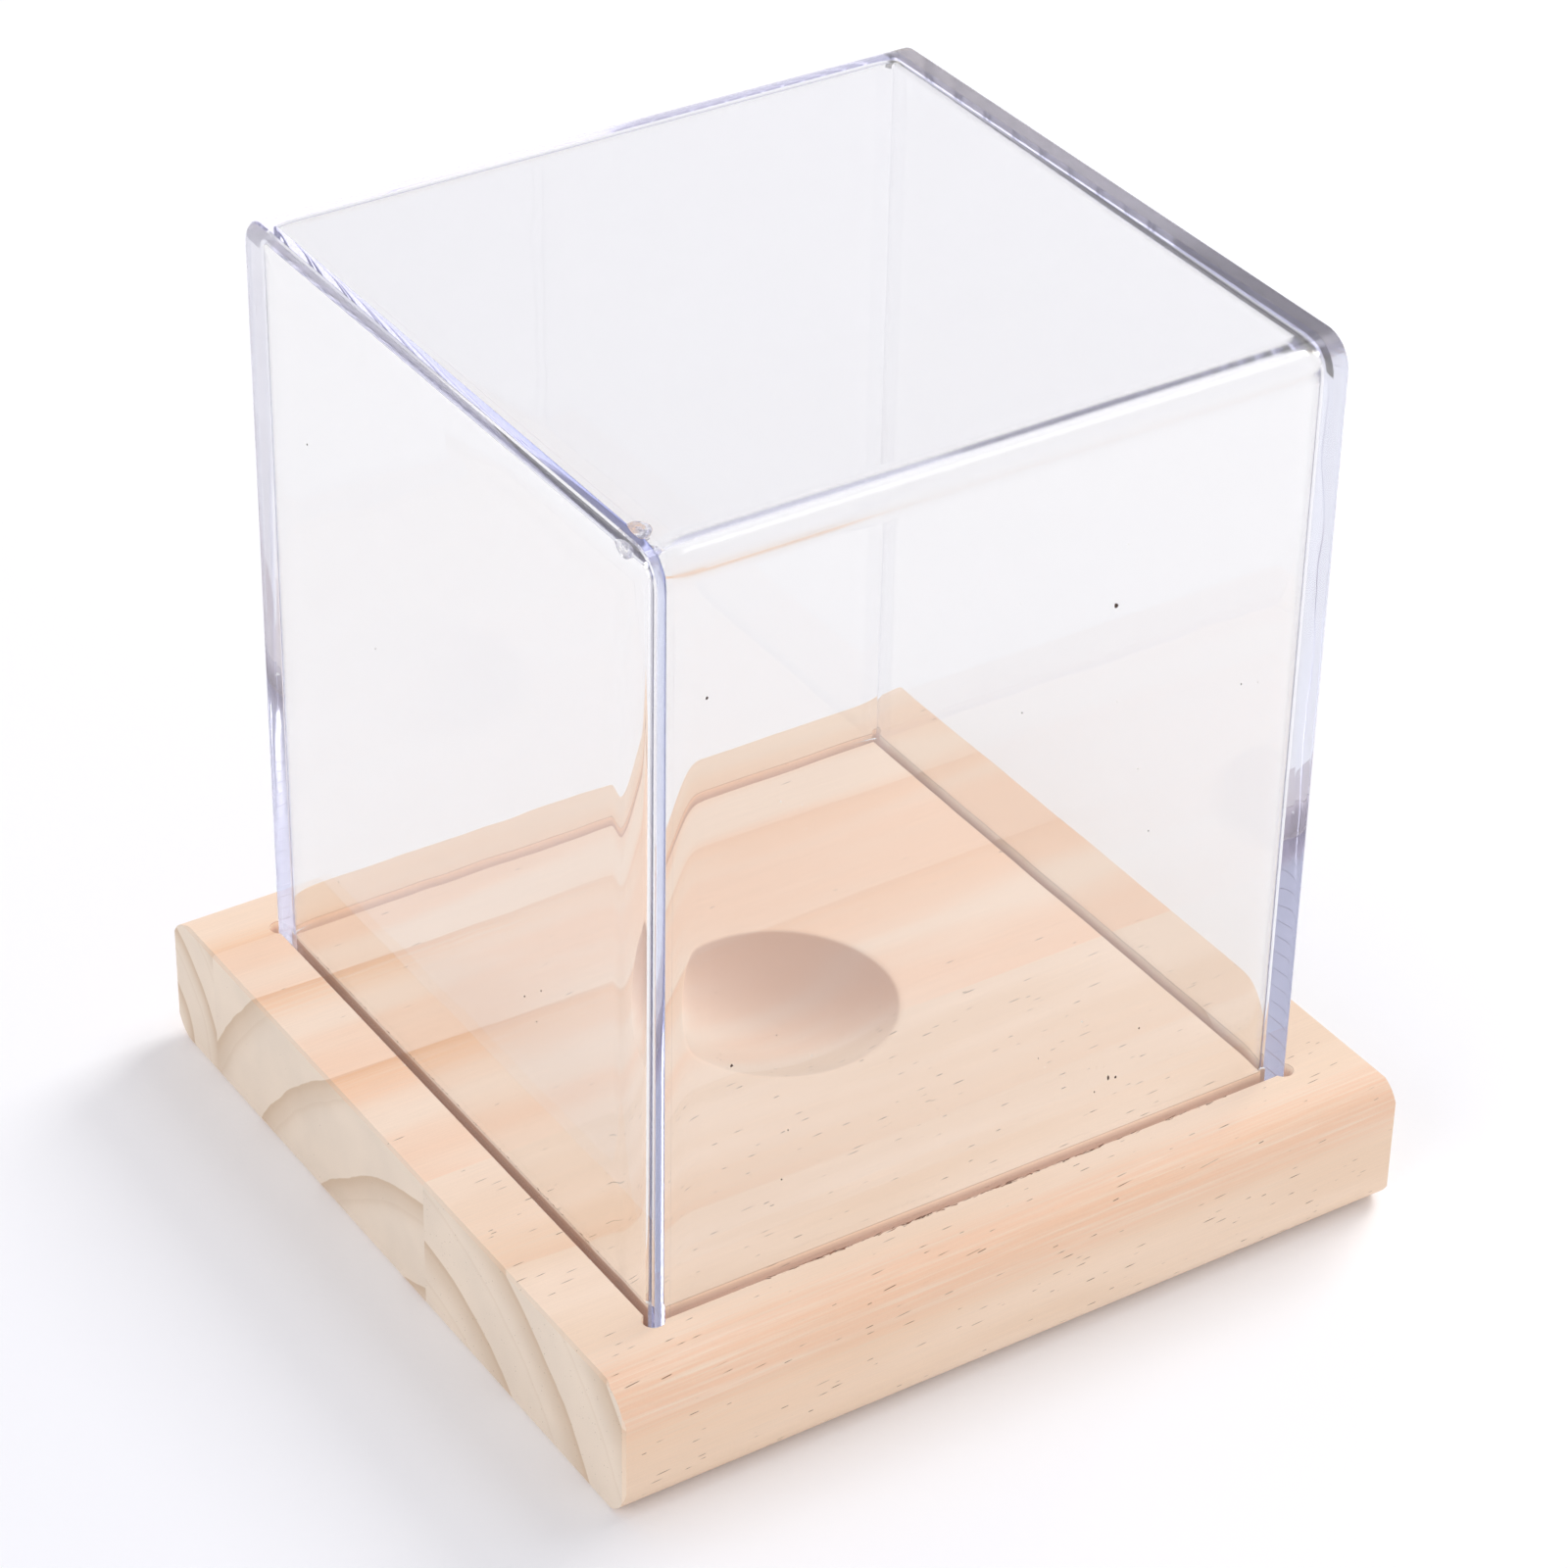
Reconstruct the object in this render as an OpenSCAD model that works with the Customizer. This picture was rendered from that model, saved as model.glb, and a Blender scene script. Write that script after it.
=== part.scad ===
// Display cube for a ball or a small exhibit: a clear lift-off cover of cemented
// acrylic sheet that stands in a groove in an edge-glued pine board.
// X runs along the grain, -Y is the front, and Z = 0 is the underside of the board.

/* [Base board] */
// Length of the board along its grain
board_l = 120; // [108:1:200]
// Depth of the board across its grain
board_d = 120; // [112:1:200]
// Thickness of the board
board_t = 20; // [14:1:40]
// Radius worked along the two long edges, above and below
edge_r = 5; // [1:0.5:6.5]
// Small bevel round the two end-grain faces
end_bevel = 0.4; // [0.1:0.1:1.5]
// Width of the narrow stave at the back
back_stave_w = 12; // [7:0.5:40]
// Width of the stave at the front
front_stave_w = 49.6; // [7:0.1:90]

/* [Groove] */
// Gap between the cover and each wall of the groove
groove_gap = 0.4; // [0.3:0.05:1]
// Depth of the groove
groove_depth = 5; // [3:0.5:10]
// Radius of the round relief at each outer corner of the groove
relief_r = 1.5; // [1:0.1:2.5]

/* [Ball dish] */
// Radius of the ball that the dish fits
ball_r = 37; // [20:0.5:80]
// Depth of the dish at its middle
dish_depth = 4; // [2:0.5:8]
// Radius that softens the rim of the dish
dish_rim_r = 2; // [0.5:0.5:5]

/* [Cover] */
// Outside width of the cover, along X
cover_w = 98.5; // [60:0.5:104]
// Outside depth of the cover, along Y
cover_d = 98.5; // [60:0.5:104]
// Height of the cover, from its open edge to its top
cover_h = 115; // [40:1:250]
// Thickness of the acrylic sheet
sheet_t = 2.5; // [1.5:0.1:2.6]
// Outside radius of the two bends in the sheet
bend_r = 4.5; // [4.5:0.5:15]
// Width that the outer edges of the side panels are eased by
arris = 0.25; // [0.1:0.05:0.6]

/* [Cement] */
// Width of the cement film on the bent sheet, along each joint
seam_leg_sheet = 5; // [4.4:0.1:6]
// Width of the cement film on the side panel, along each joint
seam_leg_panel = 1.9; // [1.2:0.1:1.9]
// Thickness that the film on the sheet grows to at the joint
seam_rise_sheet = 0.65; // [0.4:0.05:0.8]
// Thickness that the film on the panel grows to at the joint
seam_rise_panel = 0.3; // [0.2:0.05:0.5]
// Gap between the lower ends of the films and the top of the board
seam_lift = 0.5; // [0.4:0.1:10]
// Radius of the pool of spilt cement in one top corner
bead_r = 2; // [1.8:0.1:2.4]
// How far the pool hangs below the top sheet
bead_drop = 1.8; // [1.5:0.1:3]
// Distance from the inside of the front wall to the middle of the pool
bead_back = 6; // [3:0.1:20]

/* [Hidden] */
$fn = 96;

// Length by which a cutter passes the face that it cuts through
past = 1;

// Where the glued joints between the staves lie, along Y
back_joint_y = board_d / 2 - back_stave_w;
front_joint_y = -board_d / 2 + front_stave_w;

// Heights of the cover's open edge and of its top, and the inside of the cover
cover_foot = board_t - groove_depth;
cover_top = cover_foot + cover_h;
inner_w = cover_w - 2 * sheet_t;
inner_d = cover_d - 2 * sheet_t;
inner_top = cover_top - sheet_t;

// The dish is part of a sphere. Its rim is a circle that is tangent to the sphere and to the board's top.
ball_z = ball_r - dish_depth;
rim_centre_r = sqrt((ball_r + dish_rim_r) ^ 2 - (ball_z + dish_rim_r) ^ 2);
rim_share = ball_r / (ball_r + dish_rim_r);
tangent_r = rim_centre_r * rim_share;
tangent_z = ball_z - (ball_z + dish_rim_r) * rim_share;

// Number of flats across each cement film
film_steps = 6;

// The pool is the cap of a sphere
bead_ball_r = (bead_r ^ 2 + bead_drop ^ 2) / (2 * bead_drop);

pine = [0.93, 0.82, 0.70];
pine_middle = [0.94, 0.80, 0.66];
acrylic = [0.86, 0.88, 0.95, 0.35];
cement = [0.93, 0.94, 0.98, 0.6];

// Turns a shape drawn in Y and Z, and extruded upwards, to run along X
module along_x() {
    rotate([90, 0, 90]) children();
}

// Turns a shape drawn in X and Z, and extruded upwards, to run towards -Y
module along_y() {
    rotate([90, 0, 0]) children();
}

// ---------- Base board ----------

// Cross-section of the board in Y and Z
module board_section() {
    translate([-board_d / 2 + edge_r, 0]) square([board_d - 2 * edge_r, board_t]);
    translate([-board_d / 2, edge_r]) square([board_d, board_t - 2 * edge_r]);
    for (y = [-1, 1] * (board_d / 2 - edge_r), z = [edge_r, board_t - edge_r])
        translate([y, z]) circle(edge_r);
}

// Rectangle with its four corners cut off at 45 degrees
module bevelled_rectangle(w, h, c) {
    polygon([
        [-w / 2 + c, -h / 2], [w / 2 - c, -h / 2], [w / 2, -h / 2 + c], [w / 2, h / 2 - c],
        [w / 2 - c, h / 2], [-w / 2 + c, h / 2], [-w / 2, h / 2 - c], [-w / 2, -h / 2 + c]
    ]);
}

module board_blank() {
    intersection() {
        along_x() linear_extrude(board_l, center = true) board_section();
        translate([0, 0, board_t / 2]) along_y()
            linear_extrude(board_d + 2 * past, center = true) bevelled_rectangle(board_l, board_t, end_bevel);
        translate([0, 0, -past])
            linear_extrude(board_t + 2 * past) bevelled_rectangle(board_l, board_d, end_bevel);
    }
}

// Square groove for the cover's open edge, with a round relief at each outer corner
module groove_cutter() {
    outer = [cover_w, cover_d] + [2, 2] * groove_gap;
    inner = [inner_w, inner_d] - [2, 2] * groove_gap;
    relief_back = relief_r / 6;
    translate([0, 0, cover_foot]) linear_extrude(groove_depth + past) difference() {
        union() {
            square(outer, center = true);
            for (x = [-1, 1] * (cover_w / 2 - relief_back), y = [-1, 1] * (cover_d / 2 - relief_back))
                translate([x, y]) circle(relief_r);
        }
        square(inner, center = true);
    }
}

// Spherical dish with a softened rim. The revolve starts and ends at the front, inside one stave.
module dish_cutter() {
    translate([0, 0, board_t]) rotate([0, 0, -90]) rotate_extrude() {
        intersection() {
            translate([0, ball_z]) circle(ball_r);
            translate([0, -dish_depth - past]) square([tangent_r, dish_depth + 2 * past]);
        }
        difference() {
            translate([0, tangent_z]) square([rim_centre_r, past - tangent_z]);
            translate([rim_centre_r, -dish_rim_r]) circle(dish_rim_r);
        }
    }
}

// The part of the finished board between two places along Y
module stave(from_y, to_y) {
    difference() {
        intersection() {
            board_blank();
            translate([-board_l / 2 - past, from_y, -past])
                cube([board_l + 2 * past, to_y - from_y, board_t + 2 * past]);
        }
        groove_cutter();
        dish_cutter();
    }
}

module base_back_stave() {
    color(pine) stave(back_joint_y, board_d / 2 + past);
}

module base_middle_stave() {
    color(pine_middle) stave(front_joint_y, back_joint_y);
}

module base_front_stave() {
    color(pine) stave(-board_d / 2 - past, front_joint_y);
}

// ---------- Cover ----------

// Outline of the cover in Y and Z, drawn in by an inset and starting at a given height
module arch_outline(inset, foot_z) {
    w = cover_d - 2 * inset;
    top_z = cover_top - inset;
    r = bend_r - inset;
    translate([-w / 2, foot_z]) square([w, top_z - r - foot_z]);
    translate([-w / 2 + r, foot_z]) square([w - 2 * r, top_z - foot_z]);
    for (y = [-1, 1] * (w / 2 - r)) translate([y, top_z - r]) circle(r);
}

// Runs a section along the outline of the cover at an inset: up the front wall, round the bend, along
// the top, round the other bend and down the back wall. In the section, X runs along the cover's X, and
// Y goes inwards from the outline.
module run_along_arch(inset, start_z) {
    top_z = cover_top - inset;
    r = bend_r - inset;
    flat_d = cover_d - 2 * bend_r;
    for (side = [0, 1]) mirror([0, side, 0]) {
        translate([0, -flat_d / 2 - r, start_z]) linear_extrude(top_z - r - start_z) children();
        translate([0, -flat_d / 2, top_z - r])
            rotate([0, 90, 0]) rotate([0, 0, 180]) rotate_extrude(angle = 90)
                translate([r, 0]) mirror([1, 0, 0]) mirror([1, -1, 0]) children();
    }
    translate([0, flat_d / 2, top_z]) along_y() linear_extrude(flat_d) mirror([0, 1, 0]) children();
}

// Front wall, top and back wall, bent from one sheet
module cover_bent_sheet() {
    color(acrylic) along_x() linear_extrude(inner_w, center = true) difference() {
        arch_outline(0, cover_foot);
        arch_outline(sheet_t, cover_foot - past);
    }
}

// Section of the cutter that eases an outer edge
module arris_section() {
    polygon([[-past, -past], [arris + past, -past], [-past, arris + past]]);
}

// Flat panel that closes the -X end of the bent sheet and covers its cut edge
module side_panel() {
    translate([-cover_w / 2, 0, 0]) difference() {
        along_x() linear_extrude(sheet_t) arch_outline(0, cover_foot);
        run_along_arch(0, cover_foot - past) arris_section();
    }
}

module cover_left_panel() {
    color(acrylic) side_panel();
}

module cover_right_panel() {
    color(acrylic) mirror([1, 0, 0]) side_panel();
}

// ---------- Cement ----------

// Section of the cement in the corner at the origin: X runs along the sheet, Y along the panel. A thin
// film tapers out along each wall, and the two meet in the corner.
module seam_section() {
    function film_on_sheet(x) = seam_rise_sheet * (1 - x / seam_leg_sheet) ^ 3;
    function film_on_panel(y) = seam_rise_panel * (1 - y / seam_leg_panel) ^ 3;
    // Where the films meet, closer with each step
    function meeting_x(steps) = steps == 0 ? 0 : film_on_panel(film_on_sheet(meeting_x(steps - 1)));
    meet_x = meeting_x(6);
    meet_y = film_on_sheet(meet_x);
    sheet_part = [for (i = [film_steps:-1:0]) let(x = meet_x + (seam_leg_sheet - meet_x) * i / film_steps)
        [x, film_on_sheet(x)]];
    panel_part = [for (i = [1:film_steps]) let(y = meet_y + (seam_leg_panel - meet_y) * i / film_steps)
        [film_on_panel(y), y]];
    polygon(concat([[0, 0]], sheet_part, panel_part));
}

// Cement along the inside of the -X panel's joint. It starts above the board, so that the corners of
// the cover drop freely into the groove.
module cement_seam() {
    translate([-inner_w / 2, 0, 0]) run_along_arch(sheet_t, board_t + seam_lift) seam_section();
}

// Ball whose lowest cap is the pool of cement
module bead_ball() {
    translate([-inner_w / 2, -inner_d / 2 + bead_back, inner_top - bead_drop + bead_ball_r])
        sphere(bead_ball_r);
}

module left_cement_seam() {
    color(cement) difference() {
        cement_seam();
        bead_ball();
    }
}

module right_cement_seam() {
    color(cement) mirror([1, 0, 0]) cement_seam();
}

// Pool of cement in the corner between the left panel and the top
module cement_bead() {
    color(cement) intersection() {
        bead_ball();
        translate([-inner_w / 2, -inner_d / 2, inner_top - 2 * bead_drop])
            cube([inner_w, inner_d, 2 * bead_drop]);
    }
}

base_back_stave();
base_middle_stave();
base_front_stave();
cover_bent_sheet();
cover_left_panel();
cover_right_panel();
left_cement_seam();
right_cement_seam();
cement_bead();
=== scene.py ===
"""Looks of the acrylic display cube: an edge-glued pine board with a groove and a ball dish, and a cemented
acrylic cover, on a pale floor in soft studio light. Lengths in the materials are millimetres."""
import bmesh
import bpy
import math
import random
from mathutils import Matrix, Vector


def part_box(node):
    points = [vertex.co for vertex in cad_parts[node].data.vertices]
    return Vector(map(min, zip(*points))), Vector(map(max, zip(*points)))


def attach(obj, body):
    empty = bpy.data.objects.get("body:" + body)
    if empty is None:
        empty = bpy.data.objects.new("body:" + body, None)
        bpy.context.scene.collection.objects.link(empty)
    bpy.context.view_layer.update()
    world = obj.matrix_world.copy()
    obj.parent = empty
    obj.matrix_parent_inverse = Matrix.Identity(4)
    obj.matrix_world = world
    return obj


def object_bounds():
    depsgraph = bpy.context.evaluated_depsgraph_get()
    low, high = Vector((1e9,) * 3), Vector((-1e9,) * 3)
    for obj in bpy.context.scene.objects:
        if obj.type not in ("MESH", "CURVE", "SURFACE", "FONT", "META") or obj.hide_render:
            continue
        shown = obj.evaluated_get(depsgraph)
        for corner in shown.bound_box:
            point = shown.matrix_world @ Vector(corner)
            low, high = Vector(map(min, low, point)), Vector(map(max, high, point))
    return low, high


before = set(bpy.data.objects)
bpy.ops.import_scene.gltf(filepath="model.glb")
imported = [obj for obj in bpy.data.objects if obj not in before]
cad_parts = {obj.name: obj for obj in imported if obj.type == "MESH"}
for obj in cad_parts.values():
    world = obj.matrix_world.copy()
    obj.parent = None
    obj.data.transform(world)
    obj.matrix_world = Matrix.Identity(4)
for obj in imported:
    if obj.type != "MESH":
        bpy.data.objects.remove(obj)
cad_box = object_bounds()
MM = 0.001

# ---------- Sizes that the materials and small pieces need, in millimetres ----------

SHEET_LOW, SHEET_HIGH = [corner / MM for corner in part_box("cover_bent_sheet")]
PANEL_LOW, PANEL_HIGH = [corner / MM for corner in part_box("cover_left_panel")]
SEAM_LOW, SEAM_HIGH = [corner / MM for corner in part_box("left_cement_seam")]
BEAD_LOW, BEAD_HIGH = [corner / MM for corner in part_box("cement_bead")]
MIDDLE_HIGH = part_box("base_middle_stave")[1] / MM

SHEET_T = PANEL_HIGH.x - PANEL_LOW.x
COVER_HALF = -PANEL_LOW.x
INNER_HALF = SHEET_HIGH.x
COVER_TOP = SHEET_HIGH.z
COVER_FOOT = SHEET_LOW.z
BOARD_TOP = MIDDLE_HIGH.z
BOARD_HALF = MIDDLE_HIGH.x
# Sizes of the CAD that its boxes don't show
BEND_R = 4.5
SEAM_START = SEAM_LOW.z
SEAM_ON_SHEET = SEAM_HIGH.x - SEAM_LOW.x
SEAM_ON_PANEL = 1.9
SEAM_RISE_SHEET = 0.65
SEAM_RISE_PANEL = 0.3
# The cement at the back is this share of that at the front
BACK_FILM_SHARE = 0.4
# How far the panel swells in from a joint, and how steeply at it
PANEL_SWELL = 8.0
PANEL_SWELL_SLOPE = 0.19
# The mark that a run of cement left: its far side, middle and near side, in from the edge
RUN_MARK_FAR, RUN_MARK_MIDDLE, RUN_MARK_NEAR = 11.2, 8.8, 5.0
RUN_MARK_SLOPE = 0.035
SAWN_ROUGHNESS = 0.25
BEAD_DROP = BEAD_HIGH.z - BEAD_LOW.z
BEAD_R = BEAD_HIGH.x - BEAD_LOW.x
BEAD_BALL_R = (BEAD_R ** 2 + BEAD_DROP ** 2) / (2 * BEAD_DROP)
BEAD_CENTRE = Vector((BEAD_LOW.x, (BEAD_LOW.y + BEAD_HIGH.y) / 2, BEAD_LOW.z + BEAD_BALL_R))
GROOVE_GAP = 0.4
EDGE_BAND_REACH = 8.5
DISH_RIM_R = 17.5
ACRYLIC_IOR = 1.49


# ---------- Node helpers ----------

class Graph:
    """A new material and short ways to add its nodes. An argument is a number or another node's output."""

    def __init__(self, name):
        self.material = bpy.data.materials.new(name)
        self.material.use_nodes = True
        self.tree = self.material.node_tree
        self.tree.nodes.clear()
        self.output = self.tree.nodes.new("ShaderNodeOutputMaterial")

    def add(self, kind, settings=None, **inputs):
        node = self.tree.nodes.new("ShaderNode" + kind)
        for name, value in (settings or {}).items():
            setattr(node, name, value)
        for name, value in inputs.items():
            self.feed(node.inputs[name.replace("_", " ")], value)
        return node

    def feed(self, socket, value):
        if isinstance(value, bpy.types.NodeSocket):
            self.tree.links.new(value, socket)
        elif isinstance(value, (int, float)) or socket.type == "VECTOR":
            socket.default_value = value
        else:
            socket.default_value = (*value, 1.0)[:4]

    def math(self, operation, *values):
        node = self.add("Math", {"operation": operation})
        for socket, value in zip(node.inputs, values):
            self.feed(socket, value)
        return node.outputs[0]

    def plus(self, *values):
        total = values[0]
        for value in values[1:]:
            total = self.math("ADD", total, value)
        return total

    def minus(self, a, b):
        return self.math("SUBTRACT", a, b)

    def times(self, *values):
        product = values[0]
        for value in values[1:]:
            product = self.math("MULTIPLY", product, value)
        return product

    def over(self, a, b):
        return self.math("DIVIDE", a, b)

    def above(self, a, b):
        return self.math("GREATER_THAN", a, b)

    def below(self, a, b):
        return self.math("LESS_THAN", a, b)

    def both(self, *masks):
        return self.times(*masks)

    def either(self, *masks):
        result = masks[0]
        for mask in masks[1:]:
            result = self.math("MAXIMUM", result, mask)
        return result

    def absolute(self, a):
        return self.math("ABSOLUTE", a)

    def length(self, a, b):
        return self.math("SQRT", self.plus(self.times(a, a), self.times(b, b)))

    def ramp(self, value, start, end, smooth=True):
        """0 at start and 1 at end. start may be the larger."""
        kind = "SMOOTHSTEP" if smooth else "LINEAR"
        low, high, a, b = (start, end, 0.0, 1.0) if start < end else (end, start, 1.0, 0.0)
        node = self.add("MapRange", {"interpolation_type": kind})
        for name, number in (("From Min", low), ("From Max", high), ("To Min", a), ("To Max", b)):
            node.inputs[name].default_value = number
        self.feed(node.inputs["Value"], value)
        return node.outputs[0]

    def object_point(self):
        """The point on the piece in millimetres, as a vector and as X, Y and Z."""
        coords = self.add("TexCoord").outputs["Object"]
        scaled = self.add("VectorMath", {"operation": "SCALE"}, Vector=coords, Scale=1 / MM)
        parts = self.add("SeparateXYZ", Vector=scaled.outputs[0])
        return scaled.outputs[0], parts.outputs[0], parts.outputs[1], parts.outputs[2]

    def outward_normal(self):
        """The surface's own outward normal as X, Y and Z, from whichever side it is seen."""
        normal = self.add("TexCoord").outputs["Normal"]
        side = self.minus(1.0, self.times(2.0, self.add("NewGeometry").outputs["Backfacing"]))
        turned = self.add("VectorMath", {"operation": "SCALE"}, Vector=normal, Scale=side)
        parts = self.add("SeparateXYZ", Vector=turned.outputs[0])
        return parts.outputs[0], parts.outputs[1], parts.outputs[2]

    def point(self, x, y, z):
        node = self.add("CombineXYZ")
        for socket, value in zip(node.inputs, (x, y, z)):
            self.feed(socket, value)
        return node.outputs[0]

    def noise(self, vector, scale=1.0, detail=2.0, roughness=0.5):
        """Noise about 0.5."""
        node = self.add("TexNoise", Vector=vector, Scale=scale, Detail=detail, Roughness=roughness)
        return node.outputs[0]

    def swing(self, vector, amount, scale=1.0, detail=2.0):
        """Noise about 0, of about this amount each way."""
        return self.times(self.minus(self.noise(vector, scale, detail), 0.5), 2 * amount)

    def mix(self, share, a, b):
        """Colour a, and b where share is 1."""
        node = self.add("Mix", {"data_type": "RGBA", "clamp_factor": True})
        self.feed(node.inputs["Factor"], share)
        self.feed(node.inputs[6], a)
        self.feed(node.inputs[7], b)
        return node.outputs[2]

    def mix_vector(self, share, a, b):
        """Vector a, and b where share is 1."""
        node = self.add("Mix", {"data_type": "VECTOR"})
        self.feed(node.inputs["Factor"], share)
        self.feed(node.inputs[4], a)
        self.feed(node.inputs[5], b)
        return node.outputs[1]

    def darken(self, colour, share):
        """The colour times 1 + share, where share is a number near 0."""
        node = self.add("VectorMath", {"operation": "SCALE"}, Vector=colour, Scale=self.plus(1.0, share))
        return node.outputs[0]

    def bump(self, height, distance, strength=1.0):
        node = self.add("Bump", Height=height, Distance=distance, Strength=strength)
        return node.outputs[0]

    def blend(self, share, a, b):
        """Shader a, and b where share is 1."""
        node = self.add("MixShader")
        self.feed(node.inputs[0], share)
        self.feed(node.inputs[1], a)
        self.feed(node.inputs[2], b)
        return node.outputs[0]

    def finish(self, shader):
        self.tree.links.new(shader, self.output.inputs["Surface"])
        return self.material


def srgb(red, green, blue):
    """A colour given as 0 to 255 on a screen, as the linear numbers that shaders use."""
    def linear(c):
        c = c / 255
        return c / 12.92 if c <= 0.04045 else ((c + 0.055) / 1.055) ** 2.4
    return tuple(linear(c) for c in (red, green, blue))


# ---------- Pine ----------

PINE_PALE = srgb(244, 220, 196)
PINE_BAND = srgb(238, 190, 148)
PINE_LINE = srgb(214, 158, 118)
PINE_END = srgb(229, 213, 194)
PINE_END_SHADE = srgb(222, 207, 189)
PINE_END_LINE = srgb(192, 164, 134)
PINE_CUT = srgb(228, 198, 180)
PINE_CUT_SHADE = srgb(212, 184, 166)
# Painted shade on the dish's walls that face away from the light
PINE_DISH_PAINTED_SHADE = srgb(200, 154, 130)
# Painted shade on the groove's inner walls
PINE_GROOVE_PAINTED_SHADE = srgb(158, 108, 84)
PINE_WARM = srgb(236, 190, 156)
RESIN = srgb(104, 76, 58)
# Painted veil for the light that the acrylic scatters
PAINTED_VEIL = srgb(206, 206, 216)
# A share of these cells, along the grain and across it, holds a resin canal
RESIN_CELL_X, RESIN_CELL_YZ = 4.2, 0.72
RESIN_SLANT = 0.06
# Light that has met more surfaces than this was guided inside the sheets
VEILED_DEPTH = 6.5


class Pine(Graph):
    """Solid pine with its grain along X, and the noises that several of its looks share."""

    def __init__(self, name, seed):
        super().__init__(name)
        self.p, self.x, self.y, self.z = self.object_point()
        self.nx, self.ny, self.nz = self.outward_normal()
        self.seed = seed
        # Fibres along X, coarse and fine, slow patches of paler wood, and pores
        fibre_at = self.point(self.times(self.x, 0.035), self.times(self.y, 1.7), self.times(self.z, 1.7))
        self.fibre = self.noise(fibre_at, detail=4.0, roughness=0.65)
        thread_at = self.point(self.times(self.x, 0.16), self.times(self.y, 7.0), self.times(self.z, 7.0))
        self.thread = self.noise(thread_at, detail=2.0)
        patch_at = self.point(self.times(self.x, 0.012), self.times(self.y, 0.09),
                              self.plus(self.times(self.z, 0.09), seed))
        self.patch = self.noise(patch_at, detail=2.0)
        self.pores = self.noise(self.p, scale=3.2, detail=2.0, roughness=0.7)


def pine_rings(g, heart, first_ring, ring_step, second_line):
    """Each ring's line, the soft shade before it and a faint second line. The rings are tubes along X about
    the heart, at Y and Z, so they agree on every face."""
    # Distance from the heart, with the slow wander of a real trunk
    slow = g.point(g.times(g.x, 0.011), g.plus(g.times(g.y, 0.03), g.seed), g.times(g.z, 0.03))
    wander = g.swing(slow, 3.4, detail=1.0)
    fine = g.point(g.times(g.x, 0.02), g.times(g.y, 0.16), g.plus(g.times(g.z, 0.16), g.seed))
    fine_wander = g.swing(fine, 0.5)
    radius = g.length(g.minus(g.y, heart[0]), g.minus(g.z, heart[1]))
    radius = g.plus(radius, g.times(wander, 0.35), fine_wander)
    turn = g.math("FRACT", g.plus(g.over(g.minus(radius, first_ring), ring_step), 20.0))
    line = g.times(g.ramp(turn, 1 - 1.6 / ring_step, 1 - 0.25 / ring_step),
                   g.ramp(turn, 1.0, 1 - 0.12 / ring_step))
    soft_side = g.times(g.ramp(turn, 0.55, 0.985), g.ramp(turn, 1.0, 0.985))
    inner_turn = g.math("FRACT", g.plus(turn, 1 - second_line))
    faint_line = g.times(g.ramp(inner_turn, 1 - 1.1 / ring_step, 1 - 0.15 / ring_step),
                         g.ramp(inner_turn, 1.0, 1 - 0.15 / ring_step))
    return line, soft_side, faint_line


def long_grain(g, line, soft_side, band_share, tone):
    """Colour of the faces along the grain."""
    colour = g.mix(g.ramp(g.patch, 0.40, 0.66), tone, PINE_PALE)
    # The late wood is strongest at the left end of the board
    fading = g.plus(0.35, g.times(g.ramp(g.x, 5.0, -45.0), 0.65))
    band = g.times(soft_side, g.ramp(g.fibre, 0.18, 0.62), fading, band_share)
    colour = g.mix(band, colour, PINE_BAND)
    colour = g.mix(g.times(line, 0.35, fading, band_share), colour, PINE_LINE)
    # Warmer early wood along the rounded front edge
    edge_way = g.length(g.plus(g.y, BOARD_HALF), g.minus(g.z, BOARD_TOP))
    warm = g.both(g.ramp(edge_way, EDGE_BAND_REACH, 2.5), g.ramp(g.fibre, 0.25, 0.6))
    colour = g.mix(g.times(warm, 0.75), colour, PINE_WARM)
    streak = g.plus(g.times(g.minus(g.fibre, 0.5), 0.10), g.times(g.minus(g.thread, 0.5), 0.10),
                    g.times(g.minus(g.pores, 0.5), 0.06))
    return g.darken(colour, streak)


def end_grain(g, line, soft_side, faint_line):
    """Colour of the sawn ends of the staves."""
    speckle = g.noise(g.point(0.0, g.times(g.y, 5.5), g.times(g.z, 5.5)), detail=3.0, roughness=0.7)
    colour = g.mix(g.ramp(g.patch, 0.3, 0.7), PINE_END, PINE_END_SHADE)
    colour = g.mix(g.times(soft_side, 0.50), colour, PINE_END_LINE)
    colour = g.mix(g.times(line, 0.36), colour, PINE_END_LINE)
    colour = g.mix(g.times(faint_line, 0.14), colour, PINE_END_LINE)
    return g.darken(colour, g.times(g.minus(speckle, 0.5), 0.13))


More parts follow.
